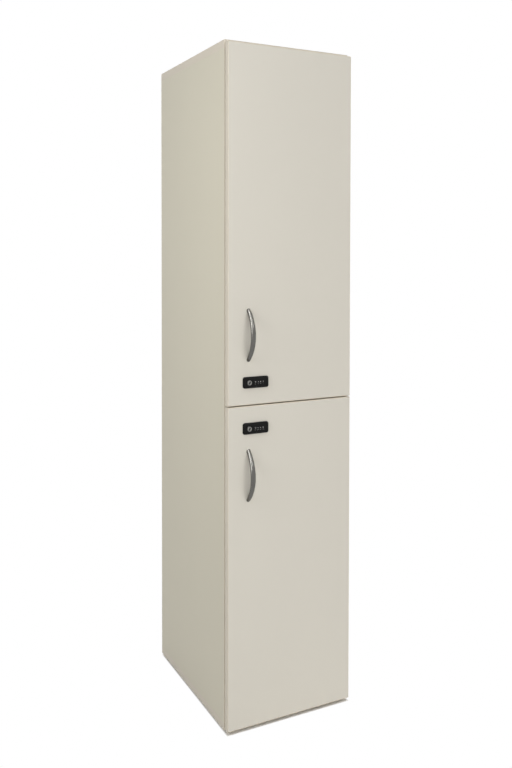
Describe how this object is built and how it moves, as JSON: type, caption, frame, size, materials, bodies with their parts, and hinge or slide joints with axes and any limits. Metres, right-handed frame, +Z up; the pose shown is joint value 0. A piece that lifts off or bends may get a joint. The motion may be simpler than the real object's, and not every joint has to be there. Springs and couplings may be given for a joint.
{
  "type": "two-door locker cabinet",
  "caption": "Tall narrow board locker with an upper and a lower door, bow handles, keyless dial locks, concealed cup hinges and low glides",
  "frame": {"origin": "on the floor, under the middle of the closed locker's bounding box", "axes": "+Z up, the doors face -Y, their hinges are at +X and their handles at -X"},
  "size_m": [0.375, 0.512, 1.8],
  "materials": {
    "board": "satin melamine facing",
    "door_board": "satin melamine facing",
    "back_board": "satin melamine facing",
    "edge_band": "satin",
    "beech": "raw",
    "zinc": "die-cast, satin",
    "steel": "zinc plated",
    "nickel_plate": "nickel plated, bright",
    "satin_nickel": "satin nickel",
    "knob_chrome": "polished",
    "black_plastic": "fine satin",
    "dial_black": "satin",
    "bumper": "soft clear"
  },
  "bodies": {
    "cabinet": {"top_panel": "board", "bottom_panel": "board", "left_side_panel": "board", "right_side_panel": "board", "divider_shelf": "board", "back_panel": "back_board", "carcass_edge_bands": "edge_band", "dowels": "beech", "cam_fittings": "zinc", "cam_bolts": "steel", "glides": "black_plastic", "coat_hooks": "satin_nickel", "door_bumpers": "bumper", "hinge_mounting_plates": "nickel_plate", "hinge_arms": "nickel_plate", "hinge_adjusters": "steel", "hinge_arm_pins": "steel", "lock_strikes": "steel", "carcass_screws": "steel"},
    "upper_door": {"upper_door_panel": "door_board", "upper_door_edge_band": "edge_band", "upper_handle": "satin_nickel", "upper_handle_screws": "steel", "upper_hinge_cups": "nickel_plate", "upper_hinge_cup_pins": "steel", "upper_lock_housing": "black_plastic", "upper_lock_back_plate": "zinc", "upper_dial_spindle": "steel", "upper_door_screws": "steel"},
    "upper_outer_links": {"upper_outer_links": "nickel_plate"},
    "upper_inner_links": {"upper_inner_links": "nickel_plate"},
    "upper_lock_knob": {"upper_lock_knob": "knob_chrome", "upper_lock_cam": "zinc", "upper_cam_screw": "steel"},
    "upper_dial_1": {"upper_dial_1": "dial_black"},
    "upper_dial_2": {"upper_dial_2": "dial_black"},
    "upper_dial_3": {"upper_dial_3": "dial_black"},
    "upper_dial_4": {"upper_dial_4": "dial_black"},
    "lower_door": {"lower_door_panel": "door_board", "lower_door_edge_band": "edge_band", "lower_handle": "satin_nickel", "lower_handle_screws": "steel", "lower_hinge_cups": "nickel_plate", "lower_hinge_cup_pins": "steel", "lower_lock_housing": "black_plastic", "lower_lock_back_plate": "zinc", "lower_dial_spindle": "steel", "lower_door_screws": "steel"},
    "lower_outer_links": {"lower_outer_links": "nickel_plate"},
    "lower_inner_links": {"lower_inner_links": "nickel_plate"},
    "lower_lock_knob": {"lower_lock_knob": "knob_chrome", "lower_lock_cam": "zinc", "lower_cam_screw": "steel"},
    "lower_dial_1": {"lower_dial_1": "dial_black"},
    "lower_dial_2": {"lower_dial_2": "dial_black"},
    "lower_dial_3": {"lower_dial_3": "dial_black"},
    "lower_dial_4": {"lower_dial_4": "dial_black"}
  },
  "joints": [
    {"name": "upper_outer_link_turn", "type": "hinge", "parent": "cabinet", "child": "upper_outer_links", "pos_m": [0.1576, -0.1875, 1.32475], "axis": [0, 0, -1], "range_deg": [0, 24.3]},
    {"name": "upper_door_swing", "type": "hinge", "parent": "upper_outer_links", "child": "upper_door", "pos_m": [0.17735, -0.21025, 1.32475], "axis": [0, 0, 1], "range_deg": [0, 124.3]},
    {"name": "upper_inner_link_turn", "type": "hinge", "parent": "cabinet", "child": "upper_inner_links", "pos_m": [0.1526, -0.2024, 1.32475], "axis": [0, 0, -1], "range_deg": [0, 39.3]},
    {"name": "upper_lock_turn", "type": "hinge", "parent": "upper_door", "child": "upper_lock_knob", "pos_m": [-0.1282, -0.23, 0.916], "axis": [0, -1, 0], "range_deg": [0, 90]},
    {"name": "upper_dial_1_spin", "type": "hinge", "parent": "upper_door", "child": "upper_dial_1", "pos_m": [-0.1103, -0.2213, 0.916], "axis": [1, 0, 0], "continuous": true},
    {"name": "upper_dial_2_spin", "type": "hinge", "parent": "upper_door", "child": "upper_dial_2", "pos_m": [-0.1029, -0.2213, 0.916], "axis": [1, 0, 0], "continuous": true},
    {"name": "upper_dial_3_spin", "type": "hinge", "parent": "upper_door", "child": "upper_dial_3", "pos_m": [-0.0955, -0.2213, 0.916], "axis": [1, 0, 0], "continuous": true},
    {"name": "upper_dial_4_spin", "type": "hinge", "parent": "upper_door", "child": "upper_dial_4", "pos_m": [-0.0881, -0.2213, 0.916], "axis": [1, 0, 0], "continuous": true},
    {"name": "lower_outer_link_turn", "type": "hinge", "parent": "cabinet", "child": "lower_outer_links", "pos_m": [0.1576, -0.1875, 0.43175], "axis": [0, 0, -1], "range_deg": [0, 24.3]},
    {"name": "lower_door_swing", "type": "hinge", "parent": "lower_outer_links", "child": "lower_door", "pos_m": [0.17735, -0.21025, 0.43175], "axis": [0, 0, 1], "range_deg": [0, 124.3]},
    {"name": "lower_inner_link_turn", "type": "hinge", "parent": "cabinet", "child": "lower_inner_links", "pos_m": [0.1526, -0.2024, 0.43175], "axis": [0, 0, -1], "range_deg": [0, 39.3]},
    {"name": "lower_lock_turn", "type": "hinge", "parent": "lower_door", "child": "lower_lock_knob", "pos_m": [-0.1282, -0.23, 0.796], "axis": [0, -1, 0], "range_deg": [0, 90]},
    {"name": "lower_dial_1_spin", "type": "hinge", "parent": "lower_door", "child": "lower_dial_1", "pos_m": [-0.1103, -0.2213, 0.796], "axis": [1, 0, 0], "continuous": true},
    {"name": "lower_dial_2_spin", "type": "hinge", "parent": "lower_door", "child": "lower_dial_2", "pos_m": [-0.1029, -0.2213, 0.796], "axis": [1, 0, 0], "continuous": true},
    {"name": "lower_dial_3_spin", "type": "hinge", "parent": "lower_door", "child": "lower_dial_3", "pos_m": [-0.0955, -0.2213, 0.796], "axis": [1, 0, 0], "continuous": true},
    {"name": "lower_dial_4_spin", "type": "hinge", "parent": "lower_door", "child": "lower_dial_4", "pos_m": [-0.0881, -0.2213, 0.796], "axis": [1, 0, 0], "continuous": true}
  ],
  "couplings": [
    {"joint": "upper_outer_link_turn", "follows": "upper_door_swing", "ratio": 0.19549},
    {"joint": "upper_inner_link_turn", "follows": "upper_door_swing", "ratio": 0.31617},
    {"joint": "lower_outer_link_turn", "follows": "lower_door_swing", "ratio": 0.19549},
    {"joint": "lower_inner_link_turn", "follows": "lower_door_swing", "ratio": 0.31617}
  ]
}
